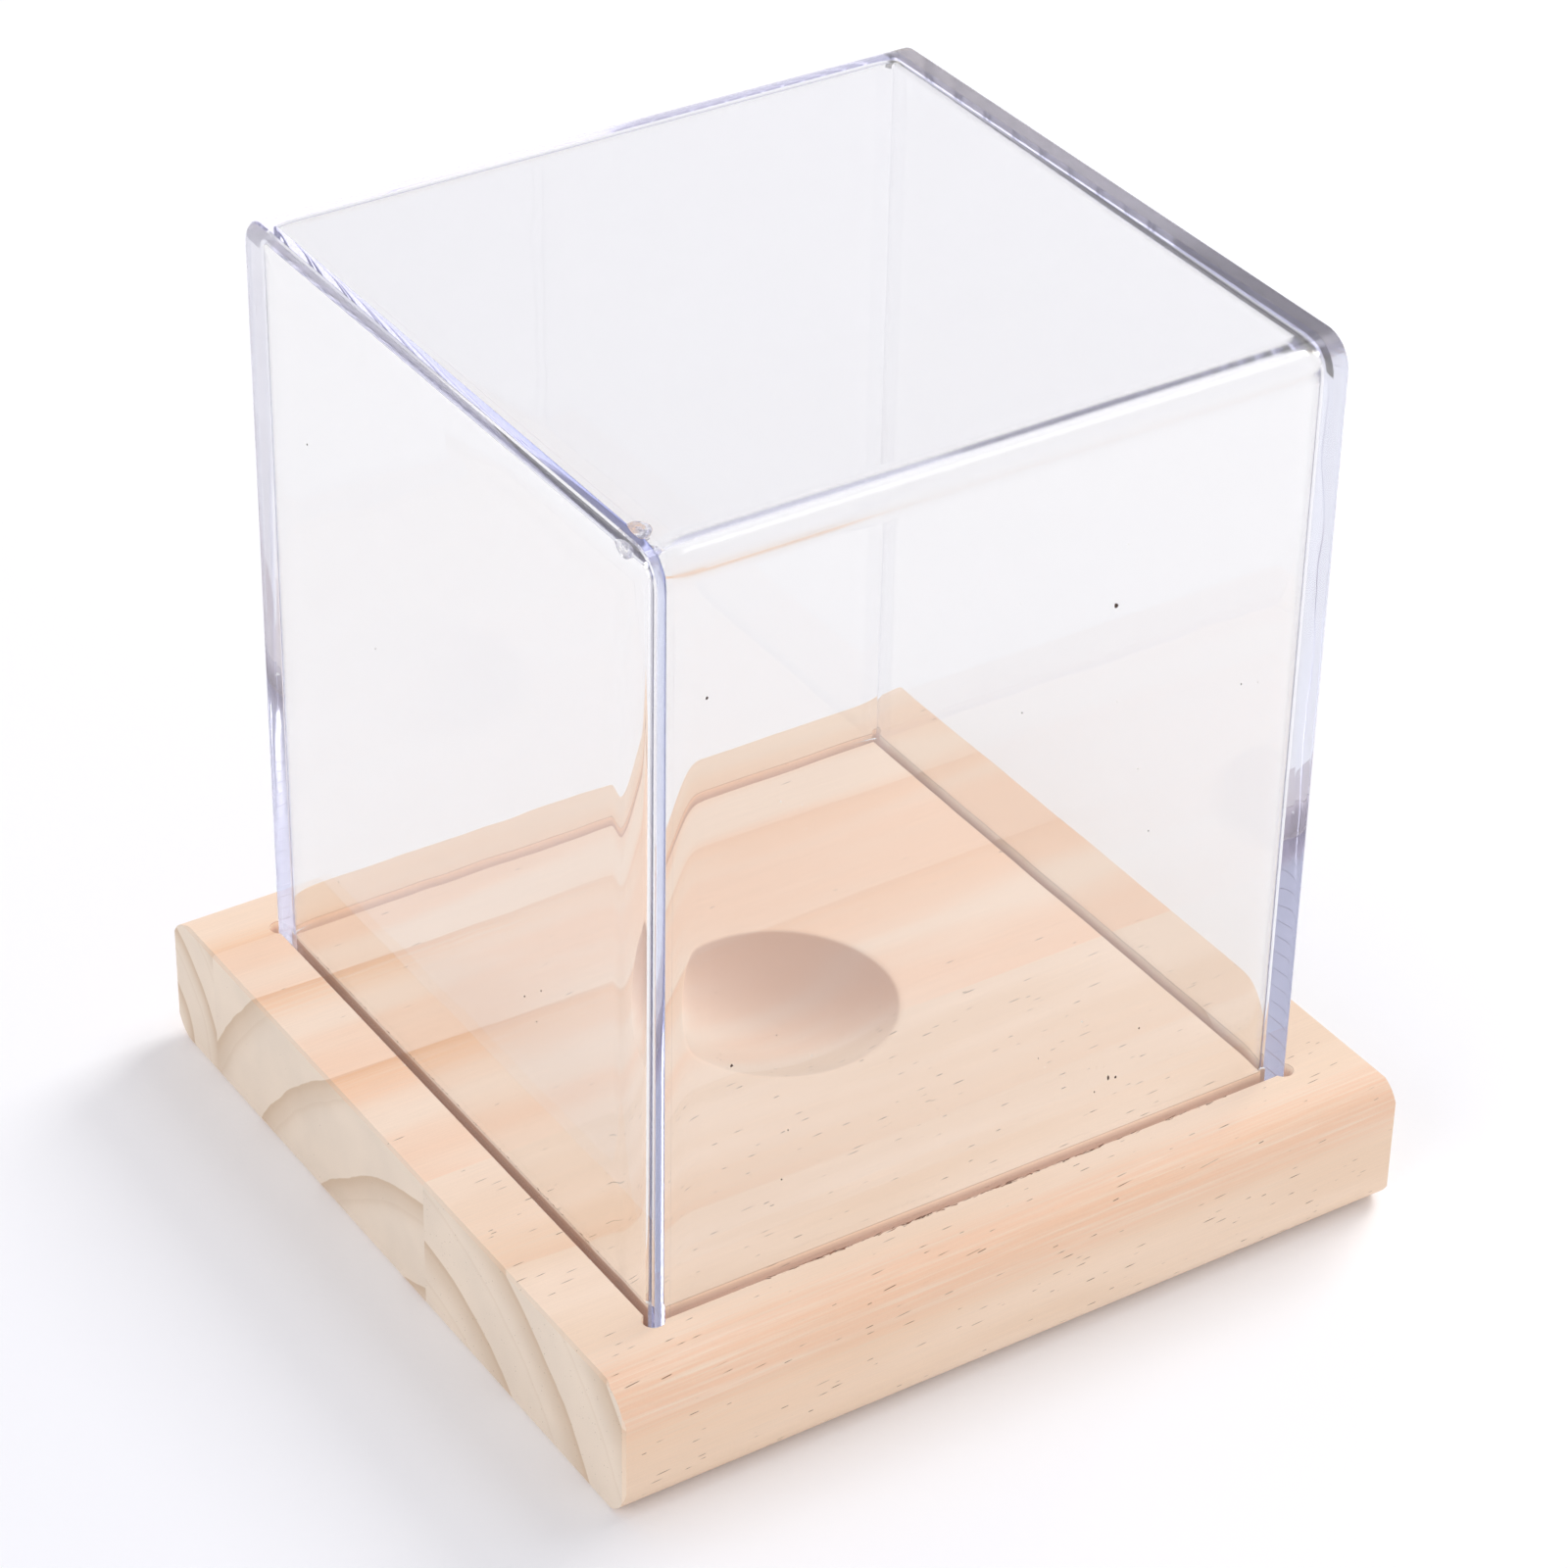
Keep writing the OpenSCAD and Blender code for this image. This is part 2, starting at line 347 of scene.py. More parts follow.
def resin_canals(g, dash_share):
    """How dark the resin canals are: short tubes along X, one in each cell that the share picks out."""
    slanted_y = g.minus(g.y, g.times(g.x, RESIN_SLANT))
    slanted_z = g.minus(g.z, g.times(g.x, RESIN_SLANT))
    cell_at = g.point(g.over(g.x, RESIN_CELL_X), g.plus(g.over(slanted_y, RESIN_CELL_YZ), g.seed),
                      g.over(slanted_z, RESIN_CELL_YZ))
    cells = g.add("TexVoronoi", {"feature": "F1"}, Vector=cell_at, Scale=1.0)
    offset = g.add("VectorMath", {"operation": "SUBTRACT"})
    g.feed(offset.inputs[0], cell_at)
    g.feed(offset.inputs[1], cells.outputs["Position"])
    off = g.add("SeparateXYZ", Vector=offset.outputs[0]).outputs
    pick = g.add("SeparateColor", Color=cells.outputs["Color"]).outputs
    half_length = g.plus(0.40, g.times(pick[1], pick[1], 1.6))
    along = g.over(g.absolute(g.times(off[0], RESIN_CELL_X)), half_length)
    across = g.times(g.length(off[1], off[2]), RESIN_CELL_YZ)
    canal = g.both(g.ramp(along, 1.0, 0.55), g.ramp(across, 0.088, 0.03), g.below(pick[0], dash_share))
    return g.times(canal, g.plus(0.45, g.times(pick[2], 0.5)))


def paint_dish_shade(g, colour):
    """The dish is a little darker for its cut across the fibres, with painted shade on the walls that face
    away from the light and a little on those that face it.
    """
    in_dish = g.both(g.ramp(g.z, BOARD_TOP - 0.01, BOARD_TOP - 0.30),
                     g.below(g.length(g.x, g.y), DISH_RIM_R + 1.5))
    tilt = g.plus(g.times(g.nx, -0.7), g.times(g.ny, -0.7))
    turned_away = g.ramp(tilt, -0.26, 0.30)
    turned_to_light = g.ramp(tilt, -0.05, -0.35)
    # Painted shade on the walls that face away from the light, and a little on those that face it; a slight
    # even darkening for the cut
    colour = g.darken(colour, g.times(in_dish, g.plus(-0.02, g.times(turned_away, -0.20))))
    colour = g.darken(colour, g.times(in_dish, turned_to_light, -0.10))
    return g.mix(g.times(in_dish, turned_away, 0.55), colour, PINE_DISH_PAINTED_SHADE)


def paint_groove_shade_and_glow(g, colour):
    """The colour with the groove and its painted shade in it, 1 inside the groove, and the strength of the
    groove's painted glow, an emission that stands in for the light the sheets guide down into it and the
    cover's foot scatters."""
    far = g.math("MAXIMUM", g.absolute(g.x), g.absolute(g.y))
    in_groove = g.both(g.below(g.z, BOARD_TOP - 0.15), g.above(far, INNER_HALF - 2 * GROOVE_GAP),
                       g.below(far, COVER_HALF + 2 * GROOVE_GAP + 0.6), g.above(g.z, COVER_FOOT - 0.2))
    cut_colour = g.mix(g.ramp(g.thread, 0.3, 0.7), PINE_CUT, PINE_CUT_SHADE)
    # The cut walls take the cut wood's colour, more of it deeper down: partly their own colour, partly
    # painted shade
    deep = g.times(in_groove, g.ramp(g.z, BOARD_TOP - 0.2, BOARD_TOP - 1.6))
    colour = g.mix(g.times(deep, 0.7), colour, cut_colour)
    # Painted shade on the inner walls, darker deeper down and most on the walls across the grain
    inner_wall = g.both(in_groove, g.below(far, INNER_HALF + SHEET_T / 2), g.below(g.absolute(g.nz), 0.5),
                        g.ramp(g.z, BOARD_TOP - 0.25, BOARD_TOP - 0.8))
    wall_painted_shade = g.times(inner_wall, g.plus(0.12, g.times(g.above(g.absolute(g.nx), 0.5), 0.73)))
    colour = g.mix(wall_painted_shade, colour, PINE_GROOVE_PAINTED_SHADE)
    # Painted glow, weaker deeper down and where the walls have painted shade
    painted_glow = g.times(in_groove, g.minus(1.0, wall_painted_shade), g.minus(0.30, g.times(deep, 0.16)))
    return colour, in_groove, painted_glow


def pine(name, heart, first_ring, ring_step, second_line, band_share, dash_share, seed, tone):
    """The pine of one stave, with the colour of the groove's and the dish's cuts, and the painted shade and
    painted glow in them.
    """
    g = Pine(name, seed)
    line, soft_side, faint_line = pine_rings(g, heart, first_ring, ring_step, second_line)
    end_face = g.ramp(g.absolute(g.nx), 0.55, 0.85)
    colour = g.mix(end_face, long_grain(g, line, soft_side, band_share, tone),
                   end_grain(g, line, soft_side, faint_line))
    canal = resin_canals(g, dash_share)
    colour = g.mix(canal, colour, RESIN)
    # The dish and the groove get painted shade, and the groove a painted glow
    colour, in_groove, painted_glow = paint_groove_shade_and_glow(g, paint_dish_shade(g, colour))

    # Painted veil: the wood is paler and greyer where light was guided a long way inside the sheets, for
    # what the acrylic scatters
    guided_far = g.above(g.add("LightPath").outputs["Ray Depth"], VEILED_DEPTH)
    colour = g.mix(g.times(guided_far, 0.75), colour, PAINTED_VEIL)

    height = g.plus(g.times(g.fibre, 0.5), g.times(g.thread, 0.35), g.times(canal, -1.2),
                    g.times(g.pores, 0.25))
    rough = g.plus(0.50, g.times(g.minus(g.fibre, 0.5), 0.16), g.times(end_face, 0.12),
                   g.times(in_groove, 0.15))
    wood = g.add("BsdfPrincipled", Base_Color=colour, Roughness=rough, IOR=1.45,
                 Normal=g.bump(height, 0.00006, 0.5))
    wood.inputs["Specular IOR Level"].default_value = 0.35
    # The groove's painted glow: an emission in the wood's own colour
    g.feed(wood.inputs["Emission Color"], colour)
    g.feed(wood.inputs["Emission Strength"], painted_glow)
    return g.finish(wood.outputs[0])


# ---------- Acrylic ----------

WHITE = (1.0, 1.0, 1.0)
CLEAR = (0.974, 0.973, 0.970)
# What each reflection inside a sheet leaves of the light that it guides along, which tints the edges
GUIDED_TINT = (0.984, 0.9862, 0.9945)
GUIDED_TINT_RIGHT = (0.9905, 0.9915, 0.9960)
GUIDED_TINT_SHEET = (0.9965, 0.9965, 0.9975)
# One minus the cosine of the angle past which light stays inside
GUIDED_FROM = 0.26
# What the cement of a joint leaves of the light that crosses it, and up to which facing value it does so
JOINT_TINT = (0.74, 0.735, 0.77)
JOINT_TINT_TOP_RIGHT = (0.50, 0.49, 0.47)
JOINT_TINT_LOW_AT_BACK = (0.96, 0.96, 0.97)
JOINT_TINT_TO, JOINT_TINT_TO_TOP_RIGHT = 0.45, 0.80
# What the acrylic leaves of the light from the lamps
SHADE_TINT = (0.965, 0.966, 0.975)
# What the top edge of the right panel leaves, which is rough from the saw
SAWN_TINT = (0.49, 0.47, 0.41)
HAZE = srgb(196, 197, 208)


class Acrylic(Graph):
    """Acrylic that light crosses without bending where two cemented pieces touch."""

    def __init__(self, name):
        super().__init__(name)
        self.p, self.x, self.y, self.z = self.object_point()
        self.nx, self.ny, self.nz = self.outward_normal()
        self.side = self.absolute(self.x)
        # Distance in from the cover's outline in Y and Z
        self.past_y = self.minus(self.absolute(self.y), COVER_HALF - BEND_R)
        self.past_z = self.minus(self.z, COVER_TOP - BEND_R)
        round_part = self.length(self.math("MAXIMUM", self.past_y, 0.0),
                                 self.math("MAXIMUM", self.past_z, 0.0))
        flat_part = self.math("MINIMUM", self.math("MAXIMUM", self.past_y, self.past_z), 0.0)
        self.depth = self.minus(BEND_R, self.plus(round_part, flat_part))
        self.over_seam_start = self.above(self.z, SEAM_START)

    def in_bead(self, reach):
        away = [self.minus(c, centre) for c, centre in zip((self.x, self.y, self.z), BEAD_CENTRE)]
        distance = self.math("SQRT", self.plus(*[self.times(a, a) for a in away]))
        return self.below(distance, BEAD_BALL_R + reach)

    def glass(self, touching, joint=None, roughness=0.0, normal=None, guided_tint=GUIDED_TINT, haze=None,
              clear=CLEAR):
        """Glass, but clear where touching is 1, and duller where joint is 1 as well. Light that it guides
        takes the guided tint, and other light the clear one. Light from lamps passes it, dimmed."""
        facing = self.add("LayerWeight", Blend=0.5).outputs["Facing"]
        guided = self.both(self.add("NewGeometry").outputs["Backfacing"], self.above(facing, GUIDED_FROM))
        tinted = self.mix(guided, clear, guided_tint)
        glass = self.add("BsdfGlass", Color=tinted, Roughness=roughness, IOR=ACRYLIC_IOR)
        if normal is not None:
            self.feed(glass.inputs["Normal"], normal)
        light_path = self.add("LightPath").outputs
        lamp_ray = self.either(light_path["Is Shadow Ray"], light_path["Is Diffuse Ray"])
        shade = self.add("BsdfTransparent", Color=SHADE_TINT).outputs[0]
        clear_tint = WHITE if joint is None else self.joint_tint(joint, facing)
        passing = self.add("BsdfTransparent", Color=clear_tint).outputs[0]
        body = glass.outputs[0]
        if haze is not None:
            body = self.blend(haze, body, self.add("BsdfTranslucent", Color=HAZE).outputs[0])
        shown = self.blend(lamp_ray, body, shade)
        return self.finish(self.blend(touching, shown, passing))

    def joint_tint(self, joint, facing):
        """What a cemented joint leaves of the light that crosses it. The joint at the top right is tinted
        darker and greyer, and the upright joints at the back lighter, set by place."""
        top_right = self.both(self.above(self.x, 0.0), self.above(self.past_z, 0.0))
        low_at_back = self.both(self.above(self.y, 0.0), self.below(self.past_z, 0.0))
        tint = self.mix(top_right, JOINT_TINT, JOINT_TINT_TOP_RIGHT)
        tint = self.mix(low_at_back, tint, JOINT_TINT_LOW_AT_BACK)
        shallowest = self.plus(JOINT_TINT_TO, self.times(top_right, JOINT_TINT_TO_TOP_RIGHT - JOINT_TINT_TO))
        return self.mix(self.both(joint, self.below(facing, shallowest)), WHITE, tint)

    def waviness(self):
        """The slight waves of cast sheet and a few hair-fine scratches, as a normal."""
        wave = self.noise(self.p, scale=0.05, detail=1.0)
        lines_at = self.point(self.times(self.x, 1.0), self.times(self.y, 1.0), self.times(self.z, 0.10))
        lines = self.noise(lines_at, scale=2.4, detail=3.0, roughness=0.7)
        scratch = self.times(self.ramp(lines, 0.70, 0.78), 0.3)
        return self.bump(self.plus(wave, self.times(scratch, 0.02)), 0.0002, 0.25)


def panel_material():
    g = Acrylic("acrylic_panel")
    inner_face = g.both(g.above(g.absolute(g.nx), 0.5), g.below(g.side, INNER_HALF + SHEET_T / 2))
    on_sheet = g.below(g.depth, SHEET_T)
    on_seam = g.both(g.below(g.depth, SHEET_T + SEAM_ON_PANEL), g.over_seam_start)
    touching = g.both(inner_face, g.either(on_sheet, on_seam, g.in_bead(0.0)))
    swell = inside_normal(g, 1.0, g.minus(panel_swell(g), run_mark(g)))
    normal = g.mix_vector(inner_face, g.waviness(), swell)
    # The top edge of the right panel was left as the saw cut it
    sawn = g.both(g.above(g.x, 0.0), g.ramp(g.nz, 0.5, 0.9), g.below(g.absolute(g.nx), 0.5))
    guided_tint = g.mix(g.above(g.x, 0.0), GUIDED_TINT, GUIDED_TINT_RIGHT)
    return g.glass(touching, on_sheet, g.times(sawn, SAWN_ROUGHNESS), normal, guided_tint,
                   clear=g.mix(sawn, CLEAR, SAWN_TINT))


def sheet_material():
    g = Acrylic("acrylic_bent_sheet")
    cut_edge = g.above(g.side, INNER_HALF - 0.01)
    inside = g.above(g.depth, SHEET_T / 2)
    on_seam = g.both(inside, g.above(g.side, INNER_HALF - SEAM_ON_SHEET), g.over_seam_start)
    on_bead = g.both(inside, g.in_bead(0.0))
    bend = g.both(g.ramp(g.past_y, -0.6, 0.6), g.ramp(g.past_z, -0.6, 0.6), g.below(g.depth, SHEET_T / 2))
    touching = g.either(cut_edge, on_seam, on_bead)
    return g.glass(touching, cut_edge, g.times(bend, 0.2), g.waviness(), GUIDED_TINT_SHEET)


def film_shares(g):
    """Distances along the sheet and the panel, and how far each film still has to taper: 1 to 0."""
    along_sheet = g.minus(INNER_HALF, g.side)
    along_panel = g.minus(g.depth, SHEET_T)
    u = g.math("MAXIMUM", g.minus(1.0, g.over(along_sheet, SEAM_ON_SHEET)), 0.0)
    v = g.math("MAXIMUM", g.minus(1.0, g.over(along_panel, SEAM_ON_PANEL)), 0.0)
    return along_sheet, along_panel, u, v


def in_films(g):
    """1 inside the section of the two cement films."""
    along_sheet, along_panel, u, v = film_shares(g)
    under_sheet_film = g.below(along_panel, g.times(u, u, u, SEAM_RISE_SHEET))
    under_panel_film = g.below(along_sheet, g.times(v, v, v, SEAM_RISE_PANEL))
    return g.both(g.either(under_sheet_film, under_panel_film), g.over_seam_start)


def cement_share(g):
    """How much cement the joints took: 1 at the front, and less towards the back."""
    return g.plus(BACK_FILM_SHARE, g.times(g.ramp(g.y, INNER_HALF, -INNER_HALF), 1 - BACK_FILM_SHARE))


def panel_swell(g):
    """Slope of the panel's inner face, which swells towards the joint, where the cement softened it."""
    near = g.math("MAXIMUM", g.minus(1.0, g.over(g.minus(g.depth, SHEET_T), PANEL_SWELL)), 0.0)
    return g.times(near, near, near, cement_share(g), PANEL_SWELL_SLOPE)


def run_mark(g):
    """Slope of the mark that a run of cement left down the left panel, near the front."""
    into = g.ramp(g.depth, RUN_MARK_FAR, RUN_MARK_MIDDLE)
    out = g.ramp(g.depth, RUN_MARK_NEAR, RUN_MARK_MIDDLE)
    return g.times(g.both(into, out, g.below(g.x, 0.0), g.below(g.y, 0.0)), RUN_MARK_SLOPE)


def inside_normal(g, away_x, inwards):
    """A normal from its parts away from the panel and away from the sheet, facing the side that is seen."""
    flat = g.below(g.math("MAXIMUM", g.past_y, g.past_z), 0.0)
    nearer_y = g.above(g.past_y, g.past_z)
    out_y = g.plus(g.math("MAXIMUM", g.past_y, 0.0), g.times(flat, nearer_y))
    out_y = g.times(g.math("SIGN", g.y), out_y)
    out_z = g.plus(g.math("MAXIMUM", g.past_z, 0.0), g.times(flat, g.minus(1.0, nearer_y)))
    reach = g.math("MAXIMUM", g.length(out_y, out_z), 0.001)
    face = g.minus(g.times(2.0, g.add("NewGeometry").outputs["Backfacing"]), 1.0)
    toward_x = g.times(g.math("SIGN", g.x), away_x, face)
    toward_y = g.times(g.over(out_y, reach), inwards, face)
    toward_z = g.times(g.over(out_z, reach), inwards, face)
    normal = g.add("VectorMath", {"operation": "NORMALIZE"}, Vector=g.point(toward_x, toward_y, toward_z))
    return normal.outputs[0]


def film_normal(g):
    """The rounded surface of the films, in place of the CAD's flats."""
    along_sheet, along_panel, u, v = film_shares(g)
    on_panel = g.above(g.absolute(g.nx), 0.75)
    amount = cement_share(g)
    slope_on_sheet = g.times(u, u, u, amount, 3.4 * SEAM_RISE_SHEET / SEAM_ON_SHEET)
    slope_on_panel = g.plus(g.times(v, v, amount, 3 * SEAM_RISE_PANEL / SEAM_ON_PANEL), panel_swell(g))
    away_x = g.plus(g.times(on_panel, g.minus(1.0, slope_on_sheet)), slope_on_sheet)
    inwards = g.plus(g.times(on_panel, g.minus(slope_on_panel, 1.0)), 1.0)
    return inside_normal(g, away_x, inwards)


def seam_material():
    g = Acrylic("acrylic_cement_seam")
    to_panel = g.both(g.above(g.times(g.nx, g.math("SIGN", g.x)), 0.5), g.above(g.side, INNER_HALF - 0.02))
    out_y = g.times(g.math("SIGN", g.y), g.math("MAXIMUM", g.past_y, 0.0))
    out_z = g.math("MAXIMUM", g.past_z, 0.0)
    outwards = g.plus(g.times(g.ny, out_y), g.times(g.nz, out_z))
    to_sheet = g.both(g.above(outwards, 0.3), g.below(g.depth, SHEET_T + 0.06))
    return g.glass(g.either(to_panel, to_sheet, g.in_bead(0.03)), normal=film_normal(g))


def bead_material():
    g = Acrylic("acrylic_cement_bead")
    to_panel = g.below(g.x, BEAD_LOW.x + 0.01)
    to_sheet = g.above(g.z, BEAD_HIGH.z - 0.01)
    uneven = g.bump(g.noise(g.p, scale=0.9, detail=2.0), 0.0004, 0.5)
    touching = g.either(to_panel, to_sheet, in_films(g))
    cloud = g.ramp(g.noise(g.p, scale=1.6, detail=2.0), 0.35, 0.62)
    return g.glass(touching, roughness=0.03, normal=uneven, haze=g.plus(0.12, g.times(cloud, 0.45)))


# ---------- Materials on the CAD nodes ----------

def dress(node, material):
    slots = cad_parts[node].material_slots
    for place in slots:
        place.link = "OBJECT"
        place.material = material


# Each stave's heart as Y and Z, its first ring's radius, the step between rings, where its second line lies
# in that step, how strong its bands are, how common its resin canals are, its noise offset and its tone
STAVES = {
    "front": ((-8.0, -24.0), 35.0, 15.0, 0.55, 0.30, 0.62, 3.7, srgb(238, 211, 184)),
    "middle": ((-20.0, -35.0), 52.2, 13.4, 0.78, 0.75, 0.05, 9.1, srgb(244, 209, 180)),
    "back": ((67.0, -1.0), 12.5, 8.5, 0.6, 0.65, 0.05, 5.3, srgb(245, 213, 184)),
}
for stave, facts in STAVES.items():
    dress(f"base_{stave}_stave", pine("pine_" + stave, *facts))

panel = panel_material()
seam = seam_material()
dress("cover_bent_sheet", sheet_material())
dress("cover_left_panel", panel)
dress("cover_right_panel", panel)
dress("left_cement_seam", seam)
dress("right_cement_seam", seam)
dress("cement_bead", bead_material())


# ---------- Sawn foot of the cover ----------

def add_piece(name, bm, material, body):
    """The bmesh as a new piece that rides on the body."""
    mesh = bpy.data.meshes.new(name)
    bmesh.ops.recalc_face_normals(bm, faces=bm.faces)
    bm.to_mesh(mesh)
    bm.free()
    piece = bpy.data.objects.new(name, mesh)
    bpy.context.scene.collection.objects.link(piece)
    mesh.materials.append(material)
    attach(piece, body)


def sawn_foot_material():
    """The saw-cut open edge: it scatters what comes straight down, mirrors at a shallow angle and has a
    painted glow.
    """
    g = Graph("acrylic_sawn_foot")
    x, y = g.object_point()[1:3]
    saw = g.noise(g.point(g.times(x, 0.9), g.times(y, 0.9), 0.0), scale=1.3, detail=3.0, roughness=0.7)
    frost = g.mix(saw, srgb(236, 236, 248), srgb(216, 217, 240))
    normal = g.bump(saw, 0.0001, 0.35)
    matt = g.add("BsdfDiffuse", Color=frost, Normal=normal)
    mirror = g.add("BsdfGlossy", Color=srgb(238, 238, 250), Roughness=0.12, Normal=normal)
    shallow = g.add("LayerWeight", Blend=0.5).outputs["Facing"]
    # Painted glow: an emission stands in for the light that the sheet guides down and lets out here
    on_bent_sheet = g.below(g.absolute(x), INNER_HALF)
    on_back_wall = g.both(on_bent_sheet, g.above(y, 0.0))
    on_right_panel = g.above(x, INNER_HALF)
    strength = g.plus(0.14, g.times(on_bent_sheet, 0.4), g.times(on_back_wall, 0.6),
                      g.times(on_right_panel, 0.4))
    painted_glow = g.add("Emission", Color=(0.62, 0.62, 0.72), Strength=strength)
    lit = g.add("AddShader")
    g.feed(lit.inputs[0], matt.outputs[0])
    g.feed(lit.inputs[1], painted_glow.outputs[0])
    return g.finish(g.blend(g.ramp(shallow, 0.35, 0.62), lit.outputs[0], mirror.outputs[0]))


def build_sawn_foot():
    """A thin square ring just above the cover's foot, inside the walls."""
    inset = 0.04
    low, high = COVER_FOOT + 0.03, COVER_FOOT + 0.06
    outer, corner, inner = COVER_HALF - inset, 0.30, INNER_HALF + inset
    bm = bmesh.new()

    def loop(points, z):
        return [bm.verts.new(Vector((px, py, z)) * MM) for px, py in points]

    def ring(half, cut):
        near = half - cut
        return [(-near, -half), (near, -half), (half, -near), (half, near),
                (near, half), (-near, half), (-half, near), (-half, -near)]

    outside, inside = ring(outer, corner), ring(inner, 0.01)
    loops = [loop(outside, low), loop(outside, high), loop(inside, high), loop(inside, low)]
    for a, b in zip(loops, loops[1:] + loops[:1]):
        for i in range(len(a)):
            j = (i + 1) % len(a)
            bm.faces.new((a[i], a[j], b[j], b[i]))
    add_piece("cover_sawn_foot", bm, sawn_foot_material(), "cover")


build_sawn_foot()


# ---------- Small pieces ----------

def add_splinter(bm, root, along, lean, thickness):
    """A closed sliver in millimetres from its root, bent halfway towards the lean, ending in a point."""
    way = Vector(along)
    side = way.cross(Vector((0.0, 0.0, 1.0))).normalized() * thickness
    up = side.cross(way).normalized() * thickness
    rings = []
    for share, size in ((0.0, 1.0), (0.5, 0.75)):
        middle = Vector(root) + way * share + Vector(lean) * share * share
        corners = (middle + side * size, middle - side * size, middle + up * size)
        rings.append([bm.verts.new(corner * MM) for corner in corners])
    tip = bm.verts.new((Vector(root) + way + Vector(lean)) * MM)
    bm.faces.new(rings[0])
    for i in range(3):
        j = (i + 1) % 3
        bm.faces.new((rings[0][i], rings[0][j], rings[1][j], rings[1][i]))
        bm.faces.new((rings[1][i], rings[1][j], tip))


def splinter_material(name, dark, light):
    g = Graph(name)
    p = g.object_point()[0]
    colour = g.mix(g.ramp(g.noise(p, scale=1.1, detail=2.0), 0.42, 0.58), dark, light)
    wood = g.add("BsdfPrincipled", Base_Color=colour, Roughness=0.8)
    return g.finish(wood.outputs[0])


def build_splinters():
    """Fibres that the cutter tore up along the groove: dark in the gap, pale where they stand up."""
    draw = random.Random(41)
    outer, inner = COVER_HALF + GROOVE_GAP, INNER_HALF - GROOVE_GAP
    reach = INNER_HALF - 6.0
    gap, lip = bmesh.new(), bmesh.new()
    clusters = [draw.uniform(-reach, reach) for _ in range(9)]
    for _ in range(170):
        at = max(-reach, min(reach, draw.choice(clusters) + draw.gauss(0.0, 3.2)))
        length = draw.uniform(0.3, 1.4) * draw.choice((-1, 1))
        thick = draw.uniform(0.035, 0.085)
        front_root = (at, -outer - draw.uniform(-0.10, 0.22), BOARD_TOP - draw.uniform(-0.02, 0.06))
        add_splinter(gap, front_root, (length, 0.02, 0.03), (0.0, draw.uniform(0.0, 0.24), 0.03), thick)
    for _ in range(70):
        at = draw.uniform(-reach, reach)
        length = draw.uniform(0.2, 0.9) * draw.choice((-1, 1))
        thick = draw.uniform(0.03, 0.06)
        left_root = (-inner + 0.05, at, BOARD_TOP - draw.uniform(0.0, 0.10))
        add_splinter(gap, left_root, (0.02, length, 0.04), (-draw.uniform(0.05, 0.32), 0.0, 0.04), thick)
    for _ in range(46):
        at = draw.uniform(-reach, reach)
        length = draw.uniform(0.3, 1.1) * draw.choice((-1, 1))
        front_root = (at, -outer - 0.10, BOARD_TOP - 0.02)
        add_splinter(lip, front_root, (length, 0.03, 0.03), (0.0, 0.10, draw.uniform(0.03, 0.12)), 0.045)
        left_root = (-outer - 0.10, draw.uniform(-reach, reach), BOARD_TOP - 0.02)
        add_splinter(lip, left_root, (0.03, length, 0.03), (0.10, 0.0, draw.uniform(0.02, 0.08)), 0.04)
    dark = splinter_material("pine_torn_fibres", srgb(104, 70, 54), srgb(160, 116, 92))
    pale = splinter_material("pine_raised_fibres", srgb(236, 208, 184), srgb(252, 236, 220))
    add_piece("groove_torn_fibres", gap, dark, "base")
    add_piece("groove_raised_fibres", lip, pale, "base")


def add_flake(bm, middle, flat_x, flat_y, thickness, draw, size):
    """A closed, ragged flake about its middle, lying in the plane of the two directions."""
    out = Vector(flat_x).cross(Vector(flat_y)) * thickness / 2
    corners = []
    sides = draw.randint(5, 7)
    stretch = draw.uniform(0.35, 1.0)
    for i in range(sides):
        angle = 2 * math.pi * (i + draw.uniform(-0.25, 0.25)) / sides
        reach = size * draw.uniform(0.7, 1.2)
        step_x = Vector(flat_x) * math.cos(angle) * reach * stretch
        step_y = Vector(flat_y) * math.sin(angle) * reach
        corners.append(Vector(middle) + step_x + step_y)
    top = [bm.verts.new((corner + out) * MM) for corner in corners]
    bottom = [bm.verts.new((corner - out) * MM) for corner in corners]
    bm.faces.new(top)
    bm.faces.new(bottom[::-1])
    for i in range(sides):
        j = (i + 1) % sides
        bm.faces.new((top[i], bottom[i], bottom[j], top[j]))


def dust_material(name, dark, light):
    g = Graph(name)
    p = g.object_point()[0]
    colour = g.mix(g.noise(p, scale=3.0, detail=2.0), dark, light)
    flake = g.add("BsdfPrincipled", Base_Color=colour, Roughness=0.9)
    return g.finish(flake.outputs[0])


# The larger specks on the front wall: X, Z and size
LARGE_SPECKS = ((15.9, 103.2, 0.42), (19.5, 30.5, 0.40), (20.7, 30.2, 0.22), (-42.3, 109.5, 0.26),
                (-38.2, 55.3, 0.24), (17.4, 29.1, 0.15))


